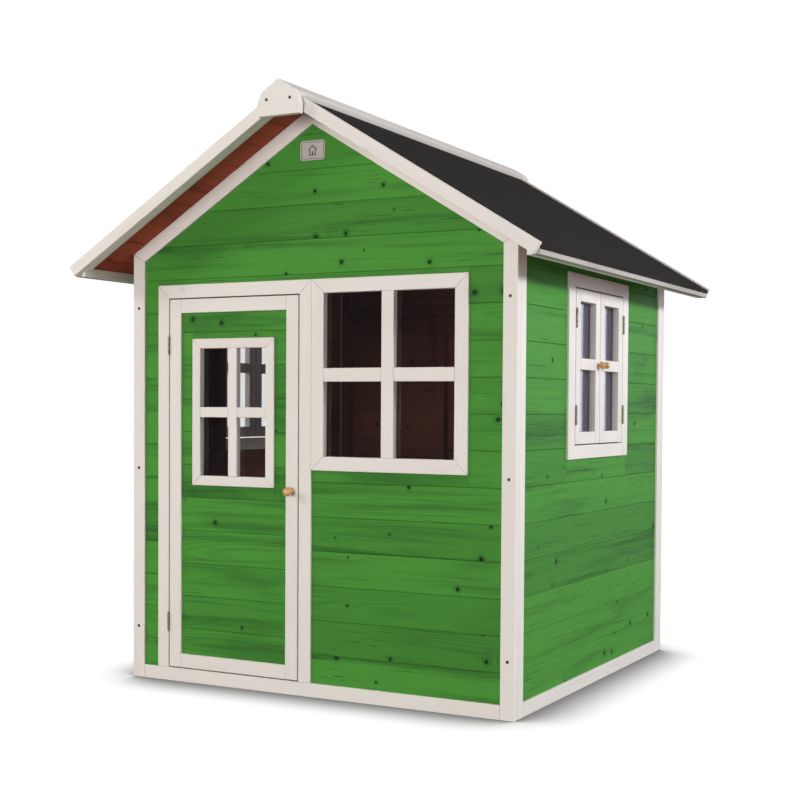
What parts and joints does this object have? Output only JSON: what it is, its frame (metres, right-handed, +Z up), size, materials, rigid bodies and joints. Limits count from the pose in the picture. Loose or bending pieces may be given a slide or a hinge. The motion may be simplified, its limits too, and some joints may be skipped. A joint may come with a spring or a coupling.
{
  "type": "playhouse",
  "caption": "Painted wooden playhouse with boarded walls, felted gable roof, half-glazed door, fixed front window and opening side casements.",
  "frame": {"origin": "centre of the bounding box, on the ground", "axes": "+X to the right of the front as seen by someone facing the door, +Y from the front wall to the back wall, +Z up"},
  "size_m": [1.357, 1.4456, 1.5443],
  "materials": {
    "green_paint": "satin",
    "white_paint": "satin",
    "brown_timber": "matte",
    "roofing_felt": "matte",
    "clear_plastic": "gloss",
    "bare_wood": "satin",
    "dark_steel": "matte",
    "brass": "satin",
    "plate": "matte"
  },
  "bodies": {
    "house": {"back_barge_boards": "white_paint", "back_boards": "green_paint", "back_corner_trims": "white_paint", "bottom_rails": "white_paint", "corner_posts": "brown_timber", "door_frame": "white_paint", "eave_fascias": "white_paint", "floor_boards": "brown_timber", "floor_joists": "brown_timber", "front_barge_boards": "white_paint", "front_boards": "green_paint", "front_corner_trims": "white_paint", "front_window_bars": "white_paint", "front_window_frame": "white_paint", "front_window_pane": "clear_plastic", "gable_trims": "white_paint", "hinge_fixed_leaves": "brass", "hinge_pins": "brass", "left_boards": "green_paint", "magnetic_catches": "plate", "name_plate": "plate", "rafters": "brown_timber", "ridge_caps": "white_paint", "ridge_end_plates": "white_paint", "right_boards": "green_paint", "roof_boards_left": "brown_timber", "roof_boards_right": "brown_timber", "roof_edge_battens": "white_paint", "roof_felt": "roofing_felt", "screws": "dark_steel", "side_corner_trims": "white_paint", "side_window_frames": "white_paint", "wall_plates": "brown_timber", "wall_studs": "brown_timber", "window_linings": "brown_timber"},
    "door": {"door_boards": "green_paint", "door_fittings": "brass", "door_knob": "bare_wood", "door_ledges": "brown_timber", "door_pane": "clear_plastic", "door_rails": "white_paint", "door_stiles": "white_paint", "door_window_bars": "white_paint", "door_window_frame": "white_paint"},
    "right_front_casement": {"right_front_fittings": "brass", "right_front_knob": "bare_wood", "right_front_pane": "clear_plastic", "right_front_sash": "white_paint"},
    "right_rear_casement": {"right_rear_fittings": "brass", "right_rear_knob": "bare_wood", "right_rear_pane": "clear_plastic", "right_rear_sash": "white_paint"},
    "left_front_casement": {"left_front_fittings": "brass", "left_front_knob": "bare_wood", "left_front_pane": "clear_plastic", "left_front_sash": "white_paint"},
    "left_rear_casement": {"left_rear_fittings": "brass", "left_rear_knob": "bare_wood", "left_rear_pane": "clear_plastic", "left_rear_sash": "white_paint"}
  },
  "joints": [
    {"name": "door_hinge", "type": "hinge", "parent": "house", "child": "door", "pos_m": [-0.448, -0.5669, 0.535], "axis": [0, 0, -1], "range_deg": [0, 110]},
    {"name": "right_front_hinge", "type": "hinge", "parent": "house", "child": "right_front_casement", "pos_m": [0.5729, -0.1785, 0.854], "axis": [0, 0, -1], "range_deg": [0, 110]},
    {"name": "right_rear_hinge", "type": "hinge", "parent": "house", "child": "right_rear_casement", "pos_m": [0.5729, 0.1905, 0.854], "axis": [0, 0, 1], "range_deg": [0, 110]},
    {"name": "left_front_hinge", "type": "hinge", "parent": "house", "child": "left_front_casement", "pos_m": [-0.5729, -0.1785, 0.854], "axis": [0, 0, 1], "range_deg": [0, 110]},
    {"name": "left_rear_hinge", "type": "hinge", "parent": "house", "child": "left_rear_casement", "pos_m": [-0.5729, 0.1905, 0.854], "axis": [0, 0, -1], "range_deg": [0, 110]}
  ]
}
